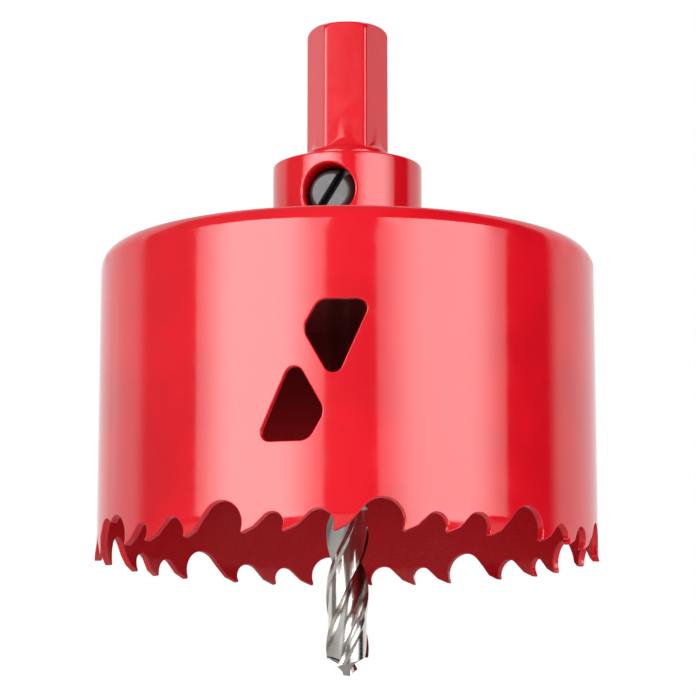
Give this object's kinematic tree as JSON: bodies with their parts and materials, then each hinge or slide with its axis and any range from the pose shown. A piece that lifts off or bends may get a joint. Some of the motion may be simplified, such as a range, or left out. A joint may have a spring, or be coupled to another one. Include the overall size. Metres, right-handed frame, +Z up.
{
  "type": "hole saw",
  "caption": "Cup-shaped hole saw with a toothed steel band, slug-ejection windows, a hexagonal shank and a twist pilot drill clamped on its axis.",
  "frame": {"origin": "on the tool's axis, at the collar's top face, where the hexagonal shank leaves it: as far as a chuck's jaws can reach down", "axes": "+Z up along the axis towards the shank's end, away from the teeth; +X to the right of the side with the set screw, +Y away from the viewer"},
  "size_m": [0.076, 0.075, 0.0997],
  "materials": {
    "red_paint": "gloss red paint",
    "red_plate": "gloss red paint",
    "red_arbor": "gloss red paint",
    "black_screw": "dark oxidised steel, worn grey",
    "bright_steel": "bright ground steel"
  },
  "bodies": {
    "root": {"saw_band": "red_paint", "base_plate": "red_plate", "arbor": "red_arbor", "set_screw": "black_screw", "pilot_drill": "bright_steel"}
  },
  "joints": []
}
